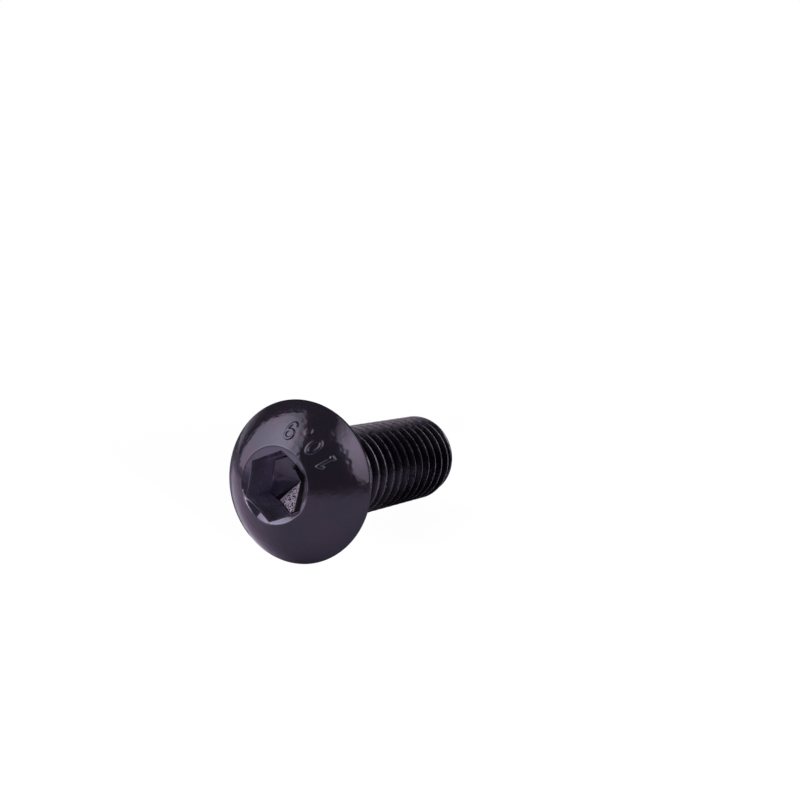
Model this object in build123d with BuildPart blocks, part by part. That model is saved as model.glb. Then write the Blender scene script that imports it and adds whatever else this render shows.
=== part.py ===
from build123d import *
import os
from math import asin, atan, cos, sin, radians, tan

# Button head screw, M6 x 16, with a hexagon socket and a metric coarse thread.
# One cold-forged piece with a rolled thread. All sizes are millimetres.
#
# The screw lies as it comes to rest on level ground at Z = 0: on the rim of
# its head and on the last full turn of its thread. Its axis stays in the XZ
# plane, with the head towards -X, and the origin is the bottom centre of the
# box around it.

# Head
head_diameter = 10.1
head_height = 3.2
rim_round = 0.82  # lower edge of the head, from the bearing face out to the rim
rim_edge_round = 0.15  # where the rim turns into the dome
dome_rise = 0.22  # how far the dome bulges beyond a straight cone
dome_top_diameter = 4.9  # where the countersink of the socket cuts the dome off

# Socket
socket_across_flats = 4.0
socket_depth = 2.2
socket_turn = -6.2  # where one corner stands, in degrees from straight up
countersink_slope = 30.0  # below the plane of the dome's top, in degrees
drill_point_diameter = 3.8
drill_point_depth = 0.55

# Shank
length_under_head = 16.0
neck_diameter = 5.2
neck_length = 0.45
neck_fillet = 0.4
runout_length = 1.3  # over which the thread grows out of the neck
tip_diameter = 4.6
tip_chamfer_length = 1.0

# Thread, right-handed
thread_major_diameter = 5.88
thread_root_diameter = 4.7
thread_pitch = 1.0
thread_flank_angle = 60.0
thread_crest_width = 0.14
groove_overhang = 0.08  # how far the groove's outline stands out of the crest
groove_overrun = 0.8  # how far the groove goes on past the tip
groove_run_in = 0.4  # how far it goes on past the bearing face
turns_per_stretch = 2  # the groove is cut in stretches of this many turns

head_radius = head_diameter / 2
dome_top_radius = dome_top_diameter / 2
socket_radius = socket_across_flats / 2
drill_point_radius = drill_point_diameter / 2
neck_radius = neck_diameter / 2
tip_radius = tip_diameter / 2
crest_radius = thread_major_diameter / 2
root_radius = thread_root_diameter / 2

# Rest. The screw tilts until its rim and its last full crest touch the ground
# together. The lower edge of the rim is a round about a circle of radius
# rim_circle, and the ground is tangent to that round and goes through the
# crest.
rim_circle = head_radius - rim_round
reach = length_under_head - tip_chamfer_length + rim_round
drop = rim_circle - crest_radius
tilt = atan(drop / reach) + asin(rim_round / (reach**2 + drop**2) ** 0.5)
bearing_height = rim_circle * cos(tilt) + rim_round * (1 - sin(tilt))
tip_reach = length_under_head * cos(tilt) + tip_radius * sin(tilt)
head_reach = head_height * cos(tilt) + dome_top_radius * sin(tilt)
bearing_shift = (head_reach - tip_reach) / 2

# The screw's own frame stands on the centre of the bearing face, with z out
# through the head and x up. Outlines are drawn as (radius, height above the
# bearing face) and turned about the axis.
screw_frame = Plane(
    origin=(bearing_shift, 0, bearing_height),
    x_dir=(sin(tilt), 0, cos(tilt)),
    z_dir=(-cos(tilt), 0, sin(tilt)),
)
outline_plane = Plane(
    origin=screw_frame.origin,
    x_dir=screw_frame.x_dir,
    z_dir=-screw_frame.y_dir,
)
screw_axis = Axis(screw_frame.origin, screw_frame.z_dir)

# Threaded bar. It tapers at its upper end, where the thread grows out of the
# neck, and has a chamfer at its tip. The thread is one groove cut in it.
bar_top = -neck_length / 2
bar_top_radius = neck_radius - 0.1
full_thread_top = -neck_length - runout_length
full_thread_bottom = tip_chamfer_length - length_under_head

flank_slope = tan(radians(thread_flank_angle / 2))
groove_depth = crest_radius - root_radius + groove_overhang
groove_mouth = (thread_pitch - thread_crest_width) / 2 + groove_overhang * flank_slope
groove_floor = groove_mouth - groove_depth * flank_slope
groove_start = -length_under_head - groove_overrun
turns_left = (groove_run_in - groove_start) / thread_pitch

with BuildPart() as threaded_bar:
    with BuildSketch(outline_plane):
        with BuildLine():
            Polyline(
                (0, bar_top),
                (bar_top_radius, bar_top),
                (crest_radius, full_thread_top),
                (crest_radius, full_thread_bottom),
                (tip_radius, -length_under_head),
                (0, -length_under_head),
                close=True,
            )
        make_face()
    revolve(axis=screw_axis)

    while turns_left > 0:
        turns = min(turns_per_stretch, turns_left)
        foot = screw_axis.position + screw_axis.direction * groove_start
        with BuildLine() as groove_path:
            Helix(
                pitch=thread_pitch,
                height=turns * thread_pitch,
                radius=root_radius,
                center=foot,
                direction=screw_axis.direction,
            )
        beginning = groove_path.line @ 0
        outward = (beginning - foot).normalized()
        across = outward.cross(screw_axis.direction)
        with BuildSketch(Plane(origin=beginning, x_dir=outward, z_dir=across)):
            with BuildLine():
                Polyline(
                    (0, -groove_floor),
                    (groove_depth, -groove_mouth),
                    (groove_depth, groove_mouth),
                    (0, groove_floor),
                    close=True,
                )
            make_face()
        sweep(path=groove_path.line, is_frenet=True, mode=Mode.SUBTRACT)
        groove_start += turns * thread_pitch
        turns_left -= turns

# Screw. The head, the neck and the cone that ends the groove below the neck
# are one turned outline, which the threaded bar joins.
socket_floor = head_height - socket_depth
countersink_drop = (dome_top_radius - drill_point_radius) * tan(radians(countersink_slope))
countersink_floor = head_height - countersink_drop
runout_foot = (root_radius - 0.05, full_thread_top)

with BuildPart() as button_head_screw:
    with BuildSketch(outline_plane):
        with BuildLine():
            rim_foot = (rim_circle, 0)
            rim_edge = (head_radius, rim_round)
            dome_top = (dome_top_radius, head_height)
            neck_top = (neck_radius, -neck_fillet)
            fillet_foot = (neck_radius + neck_fillet, 0)
            RadiusArc(rim_foot, rim_edge, -rim_round)
            SagittaArc(rim_edge, dome_top, -dome_rise)
            Polyline(
                dome_top,
                (drill_point_radius, countersink_floor),
                (0, countersink_floor),
                (0, full_thread_top),
                runout_foot,
                (neck_radius, -neck_length),
                neck_top,
            )
            RadiusArc(neck_top, fillet_foot, neck_fillet)
            Line(fillet_foot, rim_foot)
        make_face()
    revolve(axis=screw_axis)

    rim = button_head_screw.edges().sort_by(SortBy.LENGTH)[-1]
    fillet(rim, radius=rim_edge_round)

    with BuildSketch(screw_frame.offset(socket_floor)):
        RegularPolygon(
            radius=socket_radius,
            side_count=6,
            major_radius=False,
            rotation=socket_turn,
        )
    extrude(amount=socket_depth, mode=Mode.SUBTRACT)

    with BuildSketch(outline_plane):
        with BuildLine():
            Polyline(
                (0, socket_floor),
                (drill_point_radius, socket_floor),
                (0, socket_floor - drill_point_depth),
                close=True,
            )
        make_face()
    revolve(axis=screw_axis, mode=Mode.SUBTRACT)

    add(threaded_bar.part)

button_head_screw.part.label = "button_head_screw"

os.makedirs("parts", exist_ok=True)
export_step(button_head_screw.part, "parts/button_head_screw.step")
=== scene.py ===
from math import asin, atan, cos, hypot, inf, pi, radians, sin, sqrt, tan

import bmesh
import bpy
import numpy as np
from mathutils import Matrix, Vector


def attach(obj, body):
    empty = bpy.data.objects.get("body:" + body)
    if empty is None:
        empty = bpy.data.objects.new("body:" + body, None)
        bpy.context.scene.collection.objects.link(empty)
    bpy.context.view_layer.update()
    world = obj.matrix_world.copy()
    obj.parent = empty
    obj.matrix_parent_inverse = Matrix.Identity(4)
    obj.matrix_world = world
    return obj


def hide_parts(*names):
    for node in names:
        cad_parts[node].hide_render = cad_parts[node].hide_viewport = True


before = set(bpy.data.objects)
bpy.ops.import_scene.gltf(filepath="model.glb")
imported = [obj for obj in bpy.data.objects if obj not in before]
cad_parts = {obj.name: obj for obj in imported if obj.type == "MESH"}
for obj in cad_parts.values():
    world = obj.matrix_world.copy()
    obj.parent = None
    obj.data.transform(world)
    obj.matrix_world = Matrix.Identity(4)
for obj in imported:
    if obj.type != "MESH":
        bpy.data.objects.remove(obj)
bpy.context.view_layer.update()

# Sizes are millimetres until a mesh is written, as in the solid that this screw stands for.
MM = 0.001

# ---- the screw's sizes, as in the solid ----
HEAD_RADIUS = 5.05
HEAD_HEIGHT = 3.2
RIM_ROUND = 0.82
DOME_RISE = 0.22
DOME_TOP_RADIUS = 2.45
LENGTH = 16.0
NECK_RADIUS = 2.6
NECK_LENGTH = 0.45
NECK_FILLET = 0.4
RUNOUT_LENGTH = 1.3
TIP_RADIUS = 2.3
TIP_CHAMFER = 1.0
CREST_RADIUS = 2.94
ROOT_RADIUS = 2.35
PITCH = 1.0
THREAD_PHASE = -0.03  # where the helix starts, as a share of a turn

# ---- the pose at rest, worked out as in the solid ----
RIM_CIRCLE = HEAD_RADIUS - RIM_ROUND
REACH = LENGTH - TIP_CHAMFER + RIM_ROUND
DROP = RIM_CIRCLE - CREST_RADIUS
TILT = atan(DROP / REACH) + asin(RIM_ROUND / hypot(REACH, DROP))
BEARING_HEIGHT = RIM_CIRCLE * cos(TILT) + RIM_ROUND * (1 - sin(TILT))
TIP_REACH = LENGTH * cos(TILT) + TIP_RADIUS * sin(TILT)
HEAD_REACH = HEAD_HEIGHT * cos(TILT) + DOME_TOP_RADIUS * sin(TILT)
BEARING_SHIFT = (HEAD_REACH - TIP_REACH) / 2

# The screw's own frame: x up, y level, z out through the head, from the bearing face's centre.
SCREW_ORIGIN = np.array((BEARING_SHIFT, 0, BEARING_HEIGHT))
SCREW_AXES = np.array(((sin(TILT), 0, cos(TILT)), (0, 1, 0), (-cos(TILT), 0, sin(TILT))))

# The dome is an arc turned about the axis: its centre and radius in (radius, height).
DOME_FOOT = np.array((HEAD_RADIUS, RIM_ROUND))
DOME_TOP = np.array((DOME_TOP_RADIUS, HEAD_HEIGHT))
DOME_CHORD = DOME_TOP - DOME_FOOT
CHORD = hypot(*DOME_CHORD)
DOME_ARC = (CHORD**2 / 4 + DOME_RISE**2) / (2 * DOME_RISE)
DOME_OUTWARD = np.array((DOME_CHORD[1], -DOME_CHORD[0])) / CHORD
DOME_CENTRE = (DOME_FOOT + DOME_TOP) / 2 + DOME_OUTWARD * (DOME_RISE - DOME_ARC)

# ---- this screw's own socket: tapered, a little turned and off the head's centre ----
SOCKET_FLATS = 3.8
SOCKET_FOOT_FLATS = 3.5
SOCKET_FLOOR = 0.88
SOCKET_TURN = -7.5
SOCKET_SHIFT = np.array((-0.02, 0.11))
SOCKET_CORNER_ROUND = 0.14
DRILL_POINT_DEPTH = 0.66
COUNTERSINK_RADIUS = 2.39
COUNTERSINK_SLOPE = tan(radians(25))
COUNTERSINK_SHIFT = np.array((0.04, 0.10))
# Where the punch has dragged the countersink's edge inwards: (middle and reach in degrees, depth).
COUNTERSINK_DENTS = ((126, 24, 0.12), (202, 32, 0.08))
BURR_HEIGHT = 0.04
BURR_MIDDLE = 127
BURR_REACH = 15

# ---- the raised numerals ----
NUMERAL_RELIEF = 0.07
NUMERAL_STROKE = 0.075  # half the width of a stroke
NUMERAL_EDGE = 0.08  # how wide the sloping side of a stroke is
DOT_STROKE = 0.21
NINE_SHARE = 0.6  # the nine stands lower than the others

# ---- how far each place is marked. Angles are degrees about the socket, from straight up ----
CREST_WEAR = 0.32
LIP_WEAR = 0.06
EDGE_WEAR = 0.06
BURR_WEAR_MIDDLE = 124
BURR_WEAR_REACH = 14
CREST_BAND = 0.05
LIP_BAND = 0.05
EDGE_BAND = 0.04
LIP_DEPTH = 0.55  # the lip's wear is no further below the head's top
EDGE_DEPTH = 0.4
NECK_FADE = 0.3
WALL_MARKS = (1.0, 0.42)  # at the foot of the wall and near its lip
# The lowest wall has this share of its mark up to the first angle from its middle, and all of it
# from the second.
LOWER_WALL_SHARE = 0.74
LOWER_WALL_ANGLES = (28, 60)
RING_MARK = 0.14
FLOOR_MARK = 0.02
ROUGH_FLOOR_ANGLES = (76, 88, 120, 126)
ROUGH_FLOOR_MARKS = (0, 0.22, 0.22, 0)
# A patch of scale on the drilled floor, lightened as a painted highlight (1), between two strips
# of painted shade (-1).
PATCH_ANGLES = (126, 129, 137, 141, 176, 179, 222, 226)
PATCH_MARKS = (0, -1, -1, 1, 1, -1, -1, 0)

# ---- the mesh ----
# How far apart the head's columns stand, in degrees.
EVEN_STEP = 2.0
FINE_STEP = 1.0  # at the socket's corners and the burr
NUMERAL_STEP = 0.5
LEAST_STEP = 0.24
CORNER_REACH = 5
BURR_SPAN = (100, 156)
NUMERAL_SPAN = (-70, 4)
# Rows between two edges, as shares of the way from the first.
FLOOR_SHARES = (0.012, 0.15, 0.35, 0.55, 0.75, 0.88)
WALL_SHARES = (0.12, 0.25, 0.40, 0.55, 0.70, 0.82, 0.92)
RING_SHARES = (0.45, 0.6, 0.75)
DOME_SHARES = np.concatenate(
    (np.linspace(0.02, 0.10, 4), np.linspace(0.12, 0.70, 62), np.linspace(0.74, 0.975, 8))
)
RIM_ANGLES = np.linspace(radians(4), pi / 2, 10)
FILLET_ANGLES = np.linspace(0, pi / 2, 6)
# How far from an edge its rounding starts.
FOOT_CUT = 0.12
LIP_CUT = 0.07
MOUTH_CUT = 0.05
RIM_CUT = 0.045
CUT_STEPS = 4
# On the flat bearing face the head's columns give way to the shank's.
BEARING_OUTER = 3.6
BEARING_INNER = 3.2
TIP_INNER = 1.2  # where the tip's flat end is closed with triangles
SHANK_COLUMNS = 108
SHANK_ANGLES = np.arange(SHANK_COLUMNS) * 2 * pi / SHANK_COLUMNS
SAME_POINT = 2e-7  # metres between points that are joined
NO_LENGTH = 1e-8  # metres of an edge that is dropped

# ---- the steel ----
OXIDE_COOL = (0.0285, 0.0265, 0.0370, 1)
OXIDE_WARM = (0.0325, 0.0260, 0.0360, 1)
OXIDE_DULL = (0.220, 0.190, 0.290, 1)  # in the socket, where the punch has left the metal rough
THREAD_PAINTED_SHADE = (0.0075, 0.0056, 0.0088, 1)  # on the thread and neck: the oxide darkened as painted shade
SCALE_AND_PAINTED_HIGHLIGHT = (0.058, 0.047, 0.062, 1)  # a patch of scale on one side of the drilled floor, lightened as a painted highlight where the left light reflects
SPECKS_AND_PAINTED_SHADE = (0.0080, 0.0065, 0.0095, 1)  # its specks, and the strips of painted shade beside it
WORN = (0.40, 0.36, 0.42, 1)
REFLECTION_INDEX = 1.31
GRAZING_TINT = (0.60, 0.56, 0.64, 1)  # of what the steel reflects at a grazing angle
# How much like metal it reflects, with the thread's share added to the head's.
HEAD_METAL = 0.8
SOCKET_METAL = 0.10
THREAD_METAL = 0.12
# How rough the film of oil is, and how much rougher the marked places are.
FILM_ROUGHNESS = (0.09, 0.15)
SOCKET_DULL = 0.22
THREAD_DULL = 0.12
SPECKS_AND_SHADE_STRIPS_DULL = 0.5
WORN_DULL = 0.15
# The fine relief: waves like orange peel, and how much grain stands on them.
PEEL_DEPTH = 0.017
PLAIN_GRAIN = 0.08
SOCKET_GRAIN = 0.4
SCALE_GRAIN = 0.45
# Noise, in waves per millimetre.
CLOUD_SCALE = 0.55
SCRATCH_SCALE = 3.0
SPECK_SCALE = 12.0
PEEL_SCALE = 2.2
GRAIN_SCALE = 9.0

# ---- the studio, in metres but where it says otherwise ----
CAMERA_PLACE = (-70.722, -41.095, 26.098)  # in millimetres
CAMERA_HEADING = -61.899
CAMERA_PITCH = 12.007
CAMERA_ROLL = -0.588
LENS = 57.70
SENSOR_WIDTH = 36
LIGHT_TINT = (1.01, 1.0, 1.02, 1)
LIGHT_FALL = 1 / 2.71828  # what is left of a lamp's extra light at its spread
WHITE = (1, 1, 1, 1)
SURROUND = (0.115, 0.090, 0.150, 1)
# The dark card, in millimetres.
FLAG_ENDS = (-1.0, 9.0)
FLAG_SIDE = -6.5
FLAG_HEIGHT = 19.0
FLAG_BLACK = (0.01, 0.01, 0.01, 1)
FLOOR_HALF = 0.9
FLOOR_SEEN = (1.05, 1.05, 1.05, 1)
# The floor's colour in reflections is painted light and shade: darker before the screw, lighter to
# its left, towards the left light.
FLOOR_FRONT = (0.62, 0.59, 0.68, 1)
FLOOR_LEFT = (1.0, 0.95, 1.0, 1)
FLOOR_SHADE = (0.12, 0.115, 0.135, 1)  # where the screw keeps the right-hand light off the floor
FLOOR_GLOW = (0.38, 0.35, 0.41, 1)
FLOOR_GLOW_LEFT = (0.56, 0.53, 0.60, 1)
# How far to the left the colour and the glow reach their values for the left.
COLOUR_TURNS = (0.0, 0.005)
GLOW_TURNS = (0.0, 0.015)
# From the screw's centre: where the lit floor starts to go over to its own light, and has gone.
REFLECTED_FADE = (0.014, 0.07)
SEEN_FADE = (0.02, 0.09)
SEEN_OWN_SHARE = 0.93  # how much of what the camera sees is its own light, near the screw
# The shade starts at the head's left rim and fades out between two headings from there.
SHADE_ALONG = -0.0065
SHADE_SIDE = 0.0046
SHADE_FADE = 0.0014
SHADE_HEADINGS = (0.98, 1.26)


def camera():
    """The photograph's view: close to the screw, a little above it and turned towards its head."""
    data = bpy.data.cameras.new("camera")
    data.sensor_width = SENSOR_WIDTH
    data.lens = LENS
    data.clip_start = 0.001
    data.clip_end = 10
    seen = bpy.data.objects.new("camera", data)
    bpy.context.scene.collection.objects.link(seen)
    turn = (
        Matrix.Rotation(radians(CAMERA_HEADING), 4, "Z")
        @ Matrix.Rotation(pi / 2 - radians(CAMERA_PITCH), 4, "X")
        @ Matrix.Rotation(radians(CAMERA_ROLL), 4, "Z")
    )
    seen.matrix_world = Matrix.Translation(Vector(CAMERA_PLACE) * MM) @ turn
    bpy.context.scene.camera = seen


# ---- form ----


def dome_height(radius):
    """Height of the dome over the bearing face at a distance from the axis."""
    return DOME_CENTRE[1] + np.sqrt(DOME_ARC**2 - (radius - DOME_CENTRE[0]) ** 2)


def dome_normal(x, y):
    """Outward normals of the dome."""
    radius = np.hypot(x, y)
    lean = (radius - DOME_CENTRE[0]) / DOME_ARC
    rise = (dome_height(radius) - DOME_CENTRE[1]) / DOME_ARC
    return np.stack((lean * x / radius, lean * y / radius, rise), axis=1)


def turned(radius, height, angles, centre=(0.0, 0.0)):
    """A row of points round the axis. Radius and height are one number or one for each angle."""
    x = centre[0] + radius * np.cos(angles)
    y = centre[1] + radius * np.sin(angles)
    return np.stack((x, y, np.broadcast_to(height, x.shape)), axis=1)


def rounded(before, corner, after, cut):
    """Rows that round a corner between three rows, starting and ending a cut away from it."""
    back = before - corner
    on = after - corner
    first = corner + back / np.linalg.norm(back, axis=1)[:, None] * cut
    last = corner + on / np.linalg.norm(on, axis=1)[:, None] * cut
    rows = []
    for t in np.linspace(0, 1, CUT_STEPS + 1):
        rows.append(first * (1 - t) ** 2 + corner * 2 * t * (1 - t) + last * t**2)
    return rows


def between(first, last, shares):
    """Rows part of the way from one row to another."""
    return [first * (1 - share) + last * share for share in shares]


def polar(points, centre):
    """Distance of points from a centre line, and their angle about it from 0 to 2 pi."""
    x, y = (points[:, :2] - centre).T
    return np.hypot(x, y), np.mod(np.arctan2(y, x), 2 * pi)


def hexagon_radius(angles, flats):
    """Distance of the socket's wall from its centre, with rounded corners."""
    half = flats / 2
    from_flat = np.mod(angles - radians(SOCKET_TURN), pi / 3) - pi / 6
    corner_centre = (half - SOCKET_CORNER_ROUND) / cos(pi / 6)
    edge = atan((half - SOCKET_CORNER_ROUND) * tan(pi / 6) / half)
    from_corner = pi / 6 - np.abs(from_flat)
    flat = half / np.cos(from_flat)
    across = SOCKET_CORNER_ROUND**2 - (corner_centre * np.sin(from_corner)) ** 2
    corner = corner_centre * np.cos(from_corner) + np.sqrt(np.clip(across, 0, None))
    return np.where(np.abs(from_flat) <= edge, flat, corner)


def countersink_radius(angles):
    """Radius of the countersink's edge, which the punch has pushed in on its lower side."""
    radius = np.full(angles.shape, COUNTERSINK_RADIUS)
    for middle, reach, depth in COUNTERSINK_DENTS:
        from_dent = (np.degrees(angles) - middle) / reach
        radius -= depth * np.clip(1 - from_dent**4, 0, 1)
    return radius


def stroke_distance(u, v, points):
    """Distance of points (u, v) from a line through several points."""
    nearest = np.full(u.shape, 1e9)
    for (au, av), (bu, bv) in zip(points[:-1], points[1:]):
        du, dv = bu - au, bv - av
        t = np.clip(((u - au) * du + (v - av) * dv) / (du * du + dv * dv + 1e-12), 0, 1)
        nearest = np.minimum(nearest, np.hypot(u - au - t * du, v - av - t * dv))
    return nearest


def arc_points(centre, radii, start, end, steps):
    """Points along part of an ellipse, in degrees."""
    angles = np.radians(np.linspace(start, end, steps))
    return [(centre[0] + radii[0] * cos(a), centre[1] + radii[1] * sin(a)) for a in angles]


# The strokes of each numeral in (along, up) about its own centre.
ONE = [[(-0.24, 0.20), (-0.05, 0.41), (0.06, -0.40)], [(-0.03, -0.42), (0.14, -0.38)]]
ZERO = [arc_points((0.045, 0.01), (0.27, 0.40), 0, 360, 40)]
DOT = [[(0, 0), (0.001, 0)]]
NINE = [
    arc_points((0.04, 0.20), (0.26, 0.24), 0, 360, 32),
    arc_points((0.02, 0.05), (0.29, 0.47), -125, 20, 24),
]
# The property class stands on the dome with its tops towards the socket. For each numeral:
# radius and degrees of its centre, strokes, half the width of a stroke, share of the full relief.
NUMERALS = (
    (3.40, -60.0, ONE, NUMERAL_STROKE, 1.0),
    (3.34, -41.2, ZERO, NUMERAL_STROKE, 1.0),
    (3.71, -25.0, DOT, DOT_STROKE, 1.0),
    (3.38, -9.0, NINE, NUMERAL_STROKE, NINE_SHARE),
)


def numeral_relief(x, y):
    """How far the numerals raise the dome at a point."""
    raised = np.zeros(x.shape)
    for radius, degrees, strokes, half_width, share in NUMERALS:
        angle = radians(degrees)
        along = -x * sin(angle) + y * cos(angle)
        up = radius - (x * cos(angle) + y * sin(angle))
        for points in strokes:
            gap = stroke_distance(along, up, points)
            edge = np.clip((half_width + NUMERAL_EDGE / 2 - gap) / NUMERAL_EDGE, 0, 1)
            raised = np.maximum(raised, share * edge * edge * (3 - 2 * edge))
    return raised * NUMERAL_RELIEF


def head_angles():
    """Where the head's columns stand: even, and closer at socket corners, numerals and burr."""
    even = np.arange(0, 360, EVEN_STEP)
    near_corner = np.arange(-CORNER_REACH, CORNER_REACH + 0.1, FINE_STEP)
    corners = [SOCKET_TURN + 60 * corner + near_corner for corner in range(6)]
    numerals = np.arange(*NUMERAL_SPAN, NUMERAL_STEP)
    burr = np.arange(*BURR_SPAN, FINE_STEP)
    every = np.mod(np.concatenate((even, *corners, numerals, burr)), 360)
    ordered = sorted(set(np.round(every, 3)))
    kept = [ordered[0]]
    for angle in ordered[1:]:
        if angle - kept[-1] > LEAST_STEP:
            kept.append(angle)
    return np.radians(np.array(kept))


def mouth_row(angles):
    """The countersink's edge on the dome, with the burr that stands on it."""
    mouth = turned(countersink_radius(angles), 0, angles, COUNTERSINK_SHIFT)
    burr = np.clip(1 - ((np.degrees(angles) - BURR_MIDDLE) / BURR_REACH) ** 2, 0, 1)
    mouth[:, 2] = dome_height(np.hypot(mouth[:, 0], mouth[:, 1])) + BURR_HEIGHT * burr
    return mouth


def lip_row(angles):
    """The socket's lip, where its wall meets the countersink."""
    lip = turned(hexagon_radius(angles, SOCKET_FLATS), 0, angles, SOCKET_SHIFT)
    from_ring = np.hypot(*(lip[:, :2] - COUNTERSINK_SHIFT).T)
    edge_height = dome_height(COUNTERSINK_RADIUS)
    lip[:, 2] = edge_height - (COUNTERSINK_RADIUS - from_ring) * COUNTERSINK_SLOPE
    return lip


def socket_rows(angles, lip, mouth):
    """Rows from the middle of the socket's floor up its wall and over its countersink."""
    foot_wall = hexagon_radius(angles, SOCKET_FOOT_FLATS)
    floor_slope = DRILL_POINT_DEPTH / (SOCKET_FOOT_FLATS / sqrt(3))
    apex = SOCKET_FLOOR - DRILL_POINT_DEPTH

    def drilled(share):
        radius = foot_wall * share
        return turned(radius, apex + radius * floor_slope, angles, SOCKET_SHIFT)

    rows = [drilled(share) for share in FLOOR_SHARES]
    foot = drilled(1)
    rows += rounded(rows[-1], foot, lip, FOOT_CUT)
    rows += between(foot, lip, WALL_SHARES)
    rows += rounded(foot, lip, mouth, LIP_CUT)
    rows += between(lip, mouth, RING_SHARES)
    return rows


def dome_rows(angles, lip, mouth):
    """Rows from the countersink's edge over the dome and round the rim to the bearing face."""
    rim = turned(HEAD_RADIUS, RIM_ROUND, angles)

    def row(share):
        flat = mouth[:, :2] * (1 - share) + rim[:, :2] * share
        x, y = flat[:, 0], flat[:, 1]
        points = np.column_stack((x, y, dome_height(np.hypot(x, y))))
        return points + dome_normal(x, y) * numeral_relief(x, y)[:, None]

    dome = [row(share) for share in DOME_SHARES]
    around = []
    for angle in RIM_ANGLES:
        radius = RIM_CIRCLE + RIM_ROUND * cos(angle)
        around.append(turned(radius, RIM_ROUND * (1 - sin(angle)), angles))
    rows = rounded(lip, mouth, dome[0], MOUTH_CUT) + dome
    rows += rounded(dome[-1], rim, around[0], RIM_CUT)[1:-1] + around
    return rows


# Half of one thread's outline: (distance from the crest's middle, radius), with rounded corners.
HALF_THREAD = (
    (0.030, CREST_RADIUS),
    (0.055, CREST_RADIUS - 0.004),
    (0.078, CREST_RADIUS - 0.022),
    (0.100, CREST_RADIUS - 0.053),
    (0.230, CREST_RADIUS - 0.277),
    (0.345, ROOT_RADIUS + 0.114),
    (0.375, ROOT_RADIUS + 0.067),
    (0.410, ROOT_RADIUS + 0.026),
    (0.455, ROOT_RADIUS + 0.004),
)


def thread_outline():
    """One pitch of the thread: (distance below the crest's middle as a share, radius)."""
    falling = [(distance / PITCH, radius) for distance, radius in HALF_THREAD]
    rising = [(1 - share, radius) for share, radius in reversed(falling)]
    return falling + rising


def shank_limits(height):
    """The turned outline that the thread can't stand out of, and the cone that it can't cut."""
    runout_end = -NECK_LENGTH - RUNOUT_LENGTH
    heights = (-LENGTH, TIP_CHAMFER - LENGTH, runout_end, -NECK_LENGTH / 2)
    outer = np.interp(height, heights, (TIP_RADIUS, CREST_RADIUS, CREST_RADIUS, NECK_RADIUS - 0.1))
    inner = np.interp(height, (runout_end, -NECK_LENGTH), (ROOT_RADIUS - 0.05, NECK_RADIUS))
    return outer, inner


def shank_grid():
    """The shank as rows that climb with the thread. Row m ends where row m - turn_rows starts."""
    outline = thread_outline()
    turns = int(LENGTH / PITCH) + 3
    rows = []
    for turn in range(turns):
        for share, radius in outline:
            start = (1 - turn - share + THREAD_PHASE) * PITCH
            height = np.clip(start + PITCH * SHANK_ANGLES / (2 * pi), -LENGTH, -NECK_LENGTH)
            outer, inner = shank_limits(height)
            radii = np.maximum(inner, np.minimum(radius, outer))
            rows.append(turned(radii, height, SHANK_ANGLES))
    return rows, len(outline)


def collar_rows():
    """Rows from the bearing face over the neck's fillet and down the neck."""
    rows = [turned(BEARING_INNER, 0, SHANK_ANGLES)]
    for angle in FILLET_ANGLES:
        radius = NECK_RADIUS + NECK_FILLET * (1 - sin(angle))
        rows.append(turned(radius, -NECK_FILLET * (1 - cos(angle)), SHANK_ANGLES))
    rows.append(turned(NECK_RADIUS, -NECK_LENGTH, SHANK_ANGLES))
    return rows


class Shell:
    """Points and faces of the screw, added row by row."""

    def __init__(self):
        self.points = []
        self.faces = []

    def add_row(self, row):
        """Adds a row of points and gives the number of its first."""
        start = len(self.points)
        self.points.extend(row)
        return start

    def add_rows(self, rows):
        """Adds closed rows of equal length, each joined to the next."""
        starts = [self.add_row(row) for row in rows]
        count = len(rows[0])
        for a, b in zip(starts[:-1], starts[1:]):
            for k in range(count):
                n = (k + 1) % count
                self.faces.append((a + k, b + k, b + n, a + n))
        return starts

    def add_fan(self, centre, row, count, inward):
        """Closes a row with triangles about one point, inside the socket or out on the tip."""
        middle = self.add_row([np.array(centre)])
        for k in range(count):
            n = (k + 1) % count
            self.faces.append((middle, row + k, row + n) if inward else (middle, row + n, row + k))

    def add_ring(self, outer, outer_angles, inner):
        """Joins a row of the head's columns to one of the shank's, which are fewer."""
        count = len(outer_angles)
        outer_ends = [*outer_angles[1:], 2 * pi, inf]
        inner_ends = [(j + 1) * 2 * pi / SHANK_COLUMNS for j in range(SHANK_COLUMNS)] + [inf]
        i = j = 0
        while i < count or j < SHANK_COLUMNS:
            a, b = outer + i % count, inner + j % SHANK_COLUMNS
            if outer_ends[i] <= inner_ends[j]:
                i += 1
                self.faces.append((a, b, outer + i % count))
            else:
                j += 1
                self.faces.append((a, b, inner + j % SHANK_COLUMNS))

    def add_helix(self, rows, turn_rows):
        """Joins rows that climb: each one's end meets the start of the row a turn before it."""
        starts = [self.add_row(row) for row in rows]
        last = SHANK_COLUMNS - 1
        for m in range(len(rows) - 1):
            a, b = starts[m], starts[m + 1]
            for k in range(last):
                self.faces.append((a + k, b + k, b + k + 1, a + k + 1))
            if m >= turn_rows:
                c, d = starts[m - turn_rows], starts[m + 1 - turn_rows]
                self.faces.append((a + last, b + last, d, c))


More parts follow.
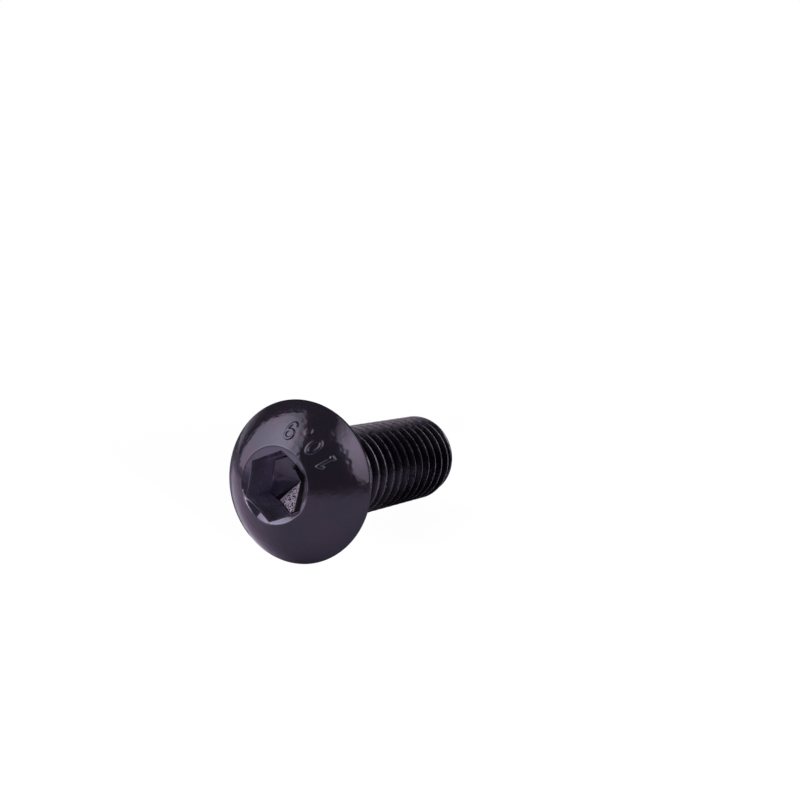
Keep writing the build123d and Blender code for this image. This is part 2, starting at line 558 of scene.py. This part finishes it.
def screw_shell():
    """The whole screw: head, bearing face, neck, thread and tip."""
    shell = Shell()
    angles = head_angles()
    lip, mouth = lip_row(angles), mouth_row(angles)
    head = socket_rows(angles, lip, mouth) + dome_rows(angles, lip, mouth)
    head.append(turned(BEARING_OUTER, 0, angles))
    head_starts = shell.add_rows(head)
    apex = (*SOCKET_SHIFT, SOCKET_FLOOR - DRILL_POINT_DEPTH)
    shell.add_fan(apex, head_starts[0], len(angles), inward=True)
    collar_starts = shell.add_rows(collar_rows())
    shell.add_ring(head_starts[-1], angles, collar_starts[0])
    shell.add_helix(*shank_grid())
    tip = [turned(radius, -LENGTH, SHANK_ANGLES) for radius in (TIP_RADIUS, TIP_INNER)]
    tip_starts = shell.add_rows(tip)
    shell.add_fan((0, 0, -LENGTH), tip_starts[1], SHANK_COLUMNS, inward=False)
    return shell


# ---- marks of making and use, and of painted light and shade, which the mesh carries for its material ----


def wear_marks(points):
    """Use has worn the thread's crests, and the socket has a bright lip, edge and burr."""
    height = points[:, 2]
    outer, _ = shank_limits(height)
    on_thread = height < -NECK_LENGTH - RUNOUT_LENGTH / 2
    from_axis = np.hypot(points[:, 0], points[:, 1])
    crest = np.clip((from_axis - outer) / CREST_BAND + 1.2, 0, 1) * on_thread
    radius, angles = polar(points, SOCKET_SHIFT)
    from_wall = radius - hexagon_radius(angles, SOCKET_FLATS)
    near_lip = height > HEAD_HEIGHT - LIP_DEPTH
    lip = np.clip(1.5 - np.abs(from_wall) / LIP_BAND, 0, 1) * near_lip
    radius, angles = polar(points, COUNTERSINK_SHIFT)
    from_edge = radius - countersink_radius(angles)
    near_edge = height > HEAD_HEIGHT - EDGE_DEPTH
    edge = np.clip(1.5 - np.abs(from_edge) / EDGE_BAND, 0, 1) * near_edge
    from_burr = np.abs(np.degrees(angles) - BURR_WEAR_MIDDLE) / BURR_WEAR_REACH
    burr = np.clip(1.2 - from_burr, 0, 1)
    edge_wear = (EDGE_WEAR + (1 - EDGE_WEAR) * burr) * edge
    return np.maximum(CREST_WEAR * crest, np.maximum(LIP_WEAR * lip, edge_wear))


def thread_marks(points):
    """1 on the thread and the neck, 0 on the head."""
    return np.clip(-points[:, 2] / NECK_FADE, 0, 1)


def socket_marks(points):
    """1 at the foot of the socket's walls, less up them, on its floor and on its countersink."""
    height = points[:, 2]
    radius, angles = polar(points, SOCKET_SHIFT)
    inside = (radius < hexagon_radius(angles, SOCKET_FLATS) + 0.01) & (height > 0)
    on_wall = radius > hexagon_radius(angles, SOCKET_FOOT_FLATS) - 0.02
    from_ring, _ = polar(points, COUNTERSINK_SHIFT)
    countersink = (from_ring < COUNTERSINK_RADIUS - 0.05) & (height > 0)
    degrees = np.degrees(angles)
    wall = np.interp(height, (SOCKET_FLOOR, HEAD_HEIGHT - 0.6), WALL_MARKS)
    from_lowest = np.abs(degrees - 180)
    wall *= np.interp(from_lowest, LOWER_WALL_ANGLES, (LOWER_WALL_SHARE, 1.0))
    drilled = FLOOR_MARK + np.interp(degrees, ROUGH_FLOOR_ANGLES, ROUGH_FLOOR_MARKS)
    outside = np.where(countersink, RING_MARK, 0.0)
    return np.where(inside, np.where(on_wall, wall, drilled), outside)


def scale_and_painted_light_marks(points):
    """1 on the patch of scale and painted highlight on the socket's drilled floor, -1 on the
    strips of painted shade beside it.
    """
    radius, angles = polar(points, SOCKET_SHIFT)
    patch = np.interp(np.degrees(angles), PATCH_ANGLES, PATCH_MARKS)
    on_floor = radius < hexagon_radius(angles, SOCKET_FOOT_FLATS) - 0.02
    return patch * on_floor * (points[:, 2] > 0)


# ---- materials ----


def feed(material, socket, value):
    """Gives a node's input a link or a plain value."""
    if hasattr(value, "is_output"):
        material.node_tree.links.new(value, socket)
    else:
        socket.default_value = value


def node(material, kind, **inputs):
    """A new node of a material, with values or links for its inputs."""
    made = material.node_tree.nodes.new(kind)
    for name, value in inputs.items():
        feed(material, made.inputs[name.replace("_", " ")], value)
    return made


def screw_place(material):
    """Coordinates in the screw's own frame, in millimetres."""
    place = node(material, "ShaderNodeTexCoord").outputs["Object"]
    back = node(material, "ShaderNodeMapping", Vector=place)
    back.vector_type = "TEXTURE"
    back.inputs["Location"].default_value = [v * MM for v in SCREW_ORIGIN]
    back.inputs["Rotation"].default_value = (0, TILT - pi / 2, 0)
    back.inputs["Scale"].default_value = (MM, MM, MM)
    return back.outputs["Vector"]


def noise(material, place, scale, detail=2.0, roughness=0.5):
    """Cloudy noise between about 0.25 and 0.75, with its scale per millimetre."""
    cloud = node(material, "ShaderNodeTexNoise", Vector=place, Scale=scale)
    cloud.inputs["Detail"].default_value = detail
    cloud.inputs["Roughness"].default_value = roughness
    return cloud.outputs["Fac"]


def remap(material, value, low, high, to_low=0.0, to_high=1.0):
    """A value brought from one range to another, smoothly and within its ends."""
    made = node(material, "ShaderNodeMapRange", Value=value)
    made.interpolation_type = "SMOOTHSTEP"
    made.inputs["From Min"].default_value = low
    made.inputs["From Max"].default_value = high
    made.inputs["To Min"].default_value = to_low
    made.inputs["To Max"].default_value = to_high
    return made.outputs["Result"]


def sums(material, operation, *values):
    """One calculation with two or three values."""
    made = node(material, "ShaderNodeMath")
    made.operation = operation
    for socket, value in zip(made.inputs, values):
        feed(material, socket, value)
    return made.outputs[0]


def blend(material, share, first, last):
    """A colour between two colours."""
    made = node(material, "ShaderNodeMix")
    made.data_type = "RGBA"
    for number, value in ((0, share), (6, first), (7, last)):
        feed(material, made.inputs[number], value)
    return made.outputs[2]


def shader_between(material, share, first, last):
    """A shader node between two shader nodes."""
    made = node(material, "ShaderNodeMixShader", Fac=share)
    feed(material, made.inputs[1], first.outputs[0])
    feed(material, made.inputs[2], last.outputs[0])
    return made


def mark(material, name):
    """A mark that the mesh carries."""
    made = node(material, "ShaderNodeAttribute")
    made.attribute_name = name
    return made.outputs["Fac"]


def black_steel():
    """Black oxide under oil: near black and glossy, dull in the socket, worn on its edges, with
    painted shade on the thread and painted light and shade on the socket's drilled floor.
    """
    material = bpy.data.materials.new("black_steel")
    material.use_nodes = True
    shader = material.node_tree.nodes["Principled BSDF"]
    place = screw_place(material)
    thread = mark(material, "thread")
    socket = mark(material, "socket")
    scale_and_painted_light = mark(material, "scale_and_painted_light")
    scratches = noise(material, place, SCRATCH_SCALE, detail=4.0, roughness=0.7)
    worn_through = remap(material, scratches, 0.25, 0.52)
    wear = sums(material, "MULTIPLY", mark(material, "wear"), worn_through)
    specks = remap(material, noise(material, place, SPECK_SCALE), 0.51, 0.59)
    specks = sums(material, "MULTIPLY", scale_and_painted_light, specks)
    # The strips beside the patch are painted shade.
    painted_shade_strips = sums(material, "MULTIPLY", scale_and_painted_light, -1.0)
    specks_and_painted_shade = sums(material, "MAXIMUM", specks, painted_shade_strips)

    clouds = remap(material, noise(material, place, CLOUD_SCALE), 0.38, 0.62)
    oxide = blend(material, clouds, OXIDE_COOL, OXIDE_WARM)
    # Painted shade: the thread and neck are darker than the head.
    oxide = blend(material, thread, oxide, THREAD_PAINTED_SHADE)
    oxide = blend(material, socket, oxide, OXIDE_DULL)
    # Painted highlight on the patch of scale, then its specks and the strips of painted shade
    # beside it.
    oxide = blend(material, scale_and_painted_light, oxide, SCALE_AND_PAINTED_HIGHLIGHT)
    oxide = blend(material, specks_and_painted_shade, oxide, SPECKS_AND_PAINTED_SHADE)
    feed(material, shader.inputs["Base Color"], blend(material, wear, oxide, WORN))

    bare = remap(material, socket, 0.2, 1.0, HEAD_METAL, SOCKET_METAL)
    bare = sums(material, "MULTIPLY_ADD", thread, THREAD_METAL, bare)
    feed(material, shader.inputs["Metallic"], bare)

    dull = remap(material, scratches, 0.35, 0.65, *FILM_ROUGHNESS)
    dull = sums(material, "MULTIPLY_ADD", socket, SOCKET_DULL, dull)
    dull = sums(material, "MULTIPLY_ADD", thread, THREAD_DULL, dull)
    dull = sums(material, "MULTIPLY_ADD", specks_and_painted_shade, SPECKS_AND_SHADE_STRIPS_DULL, dull)
    dull = sums(material, "MULTIPLY_ADD", wear, WORN_DULL, dull)
    feed(material, shader.inputs["Roughness"], dull)
    shader.inputs["IOR"].default_value = REFLECTION_INDEX
    shader.inputs["Specular Tint"].default_value = GRAZING_TINT

    peel = noise(material, place, PEEL_SCALE, detail=1.0)
    grain = noise(material, place, GRAIN_SCALE, detail=3.0, roughness=0.6)
    rough = sums(material, "MULTIPLY_ADD", socket, SOCKET_GRAIN, PLAIN_GRAIN)
    rough = sums(material, "MULTIPLY_ADD", scale_and_painted_light, SCALE_GRAIN, rough)
    height = sums(material, "MULTIPLY_ADD", grain, rough, peel)
    bump = node(material, "ShaderNodeBump", Height=height, Distance=PEEL_DEPTH * MM)
    feed(material, shader.inputs["Normal"], bump.outputs["Normal"])
    return material


# ---- the piece ----


def close_up(mesh):
    """Joins the rows where they share points, and smooths the faces."""
    work = bmesh.new()
    work.from_mesh(mesh)
    bmesh.ops.remove_doubles(work, verts=work.verts, dist=SAME_POINT)
    bmesh.ops.dissolve_degenerate(work, dist=NO_LENGTH, edges=work.edges)
    loose = [v for v in work.verts if not v.link_faces]
    bmesh.ops.delete(work, geom=loose, context="VERTS")
    for face in work.faces:
        face.smooth = True
    work.to_mesh(mesh)
    work.free()


def build_screw():
    """The whole screw as one closed mesh."""
    shell = screw_shell()
    points = np.array(shell.points)
    place = (SCREW_ORIGIN + points @ SCREW_AXES) * MM
    mesh = bpy.data.meshes.new("button_head_screw_fine")
    mesh.from_pydata([tuple(p) for p in place], [], shell.faces)
    marks = {
        "wear": wear_marks,
        "socket": socket_marks,
        "thread": thread_marks,
        "scale_and_painted_light": scale_and_painted_light_marks,
    }
    for name, marked in marks.items():
        values = mesh.attributes.new(name, "FLOAT", "POINT")
        values.data.foreach_set("value", marked(points).astype(np.float32))
    close_up(mesh)
    piece = bpy.data.objects.new("button_head_screw_fine", mesh)
    bpy.context.scene.collection.objects.link(piece)
    mesh.materials.append(black_steel())
    return piece


# ---- staging ----


def sheet(name, corners, material):
    """A flat sheet of one face, linked to the scene. Corners are metres."""
    mesh = bpy.data.meshes.new(name)
    mesh.from_pydata(corners, [], [tuple(range(len(corners)))])
    mesh.materials.append(material)
    made = bpy.data.objects.new(name, mesh)
    bpy.context.scene.collection.objects.link(made)
    return made


def bare_material(name):
    """A material with nothing in it, and its output."""
    material = bpy.data.materials.new(name)
    material.use_nodes = True
    material.node_tree.nodes.clear()
    return material, node(material, "ShaderNodeOutputMaterial")


def glow(name, edge, core, middle, spread):
    """The cloth of a soft light: brightest about its lamp. Places are along and up the cloth."""
    material, out = bare_material(name)
    place = node(material, "ShaderNodeTexCoord").outputs["Object"]
    near = node(material, "ShaderNodeMapping", Vector=place)
    near.vector_type = "TEXTURE"
    near.inputs["Location"].default_value = (*middle, 0)
    near.inputs["Scale"].default_value = (*spread, 1)
    far = node(material, "ShaderNodeVectorMath")
    far.operation = "DOT_PRODUCT"
    feed(material, far.inputs[0], near.outputs[0])
    feed(material, far.inputs[1], near.outputs[0])
    fall = sums(material, "POWER", LIGHT_FALL, far.outputs["Value"])
    power = sums(material, "MULTIPLY_ADD", fall, core, edge)
    shine = node(material, "ShaderNodeEmission", Strength=power, Color=LIGHT_TINT)
    feed(material, out.inputs["Surface"], shine.outputs[0])
    return material


def soft_light(name, azimuth, distance, corners, edge, core, middle, spread):
    """An upright cloth light at an azimuth. Corners and middle are along it and above the floor.

    Edge is its brightness far from its lamp, and core what the lamp adds in the middle.
    """
    out = Vector((cos(radians(azimuth)), sin(radians(azimuth)), 0))
    along = Vector((-out.y, out.x, 0))
    cloth = glow(name, edge, core, middle, spread)
    light = sheet(name, [(s, z, 0) for s, z in corners], cloth)
    axes = Matrix((along, Vector((0, 0, 1)), out)).transposed().to_4x4()
    light.matrix_world = Matrix.Translation(out * distance) @ axes
    light.visible_camera = False


def flag():
    """A dark card beside the shank that keeps the right-hand light off the thread."""
    left, right = FLAG_ENDS
    low = [(left, FLAG_SIDE, 0), (right, FLAG_SIDE, 0)]
    high = [(right, FLAG_SIDE, FLAG_HEIGHT), (left, FLAG_SIDE, FLAG_HEIGHT)]
    material = bpy.data.materials.new("flag_black")
    material.use_nodes = True
    shader = material.node_tree.nodes["Principled BSDF"]
    shader.inputs["Base Color"].default_value = FLAG_BLACK
    card = sheet("flag", [[c * MM for c in corner] for corner in low + high], material)
    card.visible_camera = False


def surround():
    """What lies beyond the lights: white to the camera, and a dim violet in reflections."""
    world = bpy.data.worlds.new("studio")
    bpy.context.scene.world = world
    world.use_nodes = True
    world.node_tree.nodes.clear()
    seen = node(world, "ShaderNodeBackground", Color=WHITE)
    dark = node(world, "ShaderNodeBackground", Color=SURROUND)
    is_seen = node(world, "ShaderNodeLightPath").outputs["Is Camera Ray"]
    out = node(world, "ShaderNodeOutputWorld")
    mix = shader_between(world, is_seen, dark, seen)
    feed(world, out.inputs["Surface"], mix.outputs[0])


def studio():
    """Cloth lights to the left, to the right and behind, and a card before the right one."""
    soft_light(
        "left_light",
        azimuth=117,
        distance=0.16,
        corners=[(-0.106, 0), (0.0, 0), (0.28, 0.13), (0.28, 0.57), (-0.106, 0.57)],
        edge=2.2,
        core=4.7,
        middle=(0.06, 0.21),
        spread=(0.16, 0.20),
    )
    soft_light(
        "right_light",
        azimuth=-63,
        distance=0.16,
        corners=[(-0.185, 0.065), (-0.14, 0.012), (0.12, 0.03), (0.12, 0.60), (-0.26, 0.60)],
        edge=1.5,
        core=4.1,
        middle=(-0.12, 0.20),
        spread=(0.15, 0.18),
    )
    flag()
    soft_light(
        "back_light",
        azimuth=27,
        distance=0.30,
        corners=[(-0.24, 0), (0.29, 0), (0.29, 0.22), (-0.24, 0.22)],
        edge=0.05,
        core=0.95,
        middle=(0.25, 0.0),
        spread=(0.16, 0.10),
    )
    surround()


def floor_colours(material, place):
    """The floor's colour, and the even light that it gives off further away.

    Both are painted light and shade: darker before the screw than to its left, towards the left
    light, and darkest in a painted shadow of the head.
    """
    apart = node(material, "ShaderNodeSeparateXYZ", Vector=place)
    along, side = apart.outputs["X"], apart.outputs["Y"]
    past_rim = sums(material, "ADD", side, -SHADE_SIDE)
    past_head = sums(material, "ADD", along, -SHADE_ALONG)
    heading = sums(material, "ARCTAN2", past_rim, past_head)
    shaded = remap(material, heading, *SHADE_HEADINGS, 1.0, 0.0)
    shade_starts = remap(material, side, SHADE_SIDE, SHADE_SIDE + SHADE_FADE)
    shaded = sums(material, "MULTIPLY", shaded, shade_starts)
    colour = blend(material, remap(material, side, *COLOUR_TURNS), FLOOR_FRONT, FLOOR_LEFT)
    light = blend(material, remap(material, side, *GLOW_TURNS), FLOOR_GLOW, FLOOR_GLOW_LEFT)
    colour = blend(material, shaded, colour, FLOOR_SHADE)
    light = blend(material, shaded, light, FLOOR_SHADE)
    return colour, light


def floor():
    """A plain floor that is white to the camera; in reflections it is lit by the lamps, with
    painted light and shade and a glow of its own further out.
    """
    material, out = bare_material("floor_white")
    place = node(material, "ShaderNodeTexCoord").outputs["Object"]
    distance = node(material, "ShaderNodeVectorMath")
    distance.operation = "LENGTH"
    feed(material, distance.inputs[0], place)
    colour, light = floor_colours(material, place)
    lit = node(material, "ShaderNodeBsdfDiffuse", Color=colour)

    def evened(light, fade, near_share):
        """The lit floor, going over to an even light of its own away from the screw."""
        own = node(material, "ShaderNodeEmission", Color=light)
        share = remap(material, distance.outputs["Value"], *fade, near_share, 1.0)
        return shader_between(material, share, lit, own)

    reflected = evened(light, REFLECTED_FADE, 0.0)
    seen = evened(FLOOR_SEEN, SEEN_FADE, SEEN_OWN_SHARE)
    is_seen = node(material, "ShaderNodeLightPath").outputs["Is Camera Ray"]
    mix = shader_between(material, is_seen, reflected, seen)
    feed(material, out.inputs["Surface"], mix.outputs[0])
    half = FLOOR_HALF
    corners = [(-half, -half, 0), (half, -half, 0), (half, half, 0), (-half, half, 0)]
    sheet("floor", corners, material)


camera()
studio()
floor()
screw = build_screw()
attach(screw, "root")
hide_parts("button_head_screw")
bpy.context.scene.view_settings.view_transform = "Standard"
